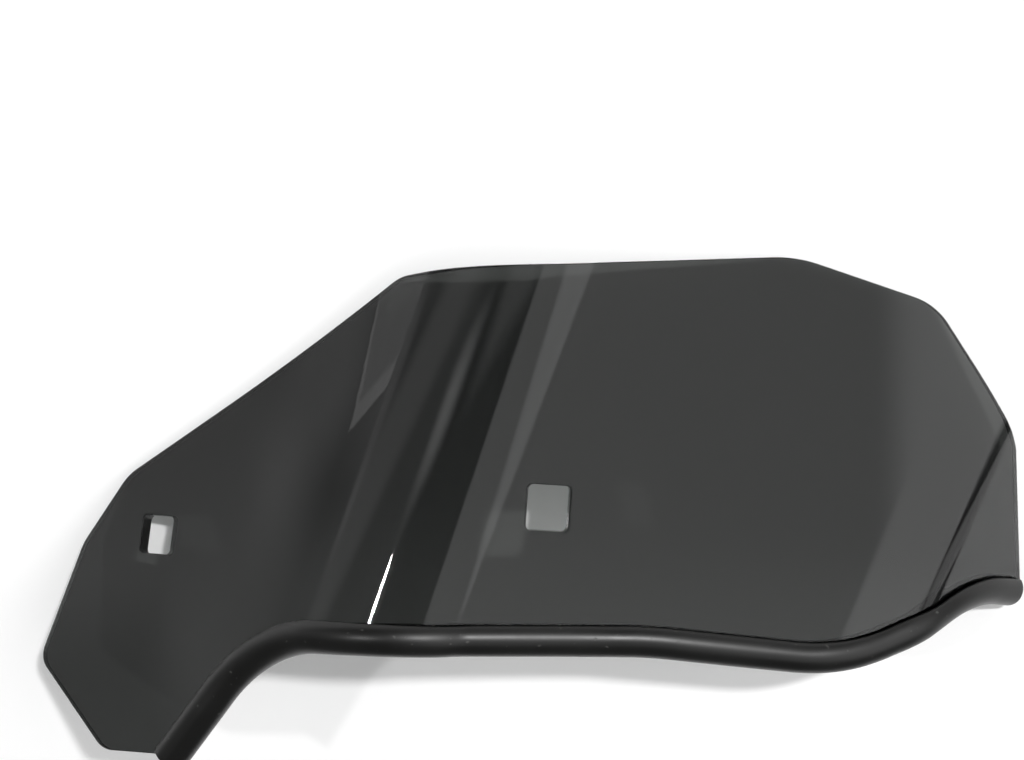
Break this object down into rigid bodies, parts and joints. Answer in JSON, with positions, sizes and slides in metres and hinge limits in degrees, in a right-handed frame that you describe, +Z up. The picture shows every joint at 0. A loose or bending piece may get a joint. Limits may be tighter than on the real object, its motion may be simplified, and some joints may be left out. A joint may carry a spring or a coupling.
{
  "type": "motorcycle hand guard",
  "caption": "Hand guard of smoked clear acrylic sheet, bent to shelter the grip and lever, with square fixing holes and a round rubber trim pushed onto its lower edge.",
  "frame": {"origin": "centre of the part's footprint, on the surface that it lies on", "axes": "+X towards the outer tip with the arm at -X, +Y towards the top edge with the trimmed lower edge at -Y, +Z up; the guard lies at rest with its hollow side down"},
  "size_m": [0.2832, 0.1552, 0.0687],
  "materials": {
    "smoked_acrylic": "polished clear sheet, smoked dark grey, light passes through it faintly",
    "trim_rubber": "satin black extruded rubber"
  },
  "bodies": {
    "root": {"shield": "smoked_acrylic", "edge_trim": "trim_rubber"}
  },
  "joints": []
}
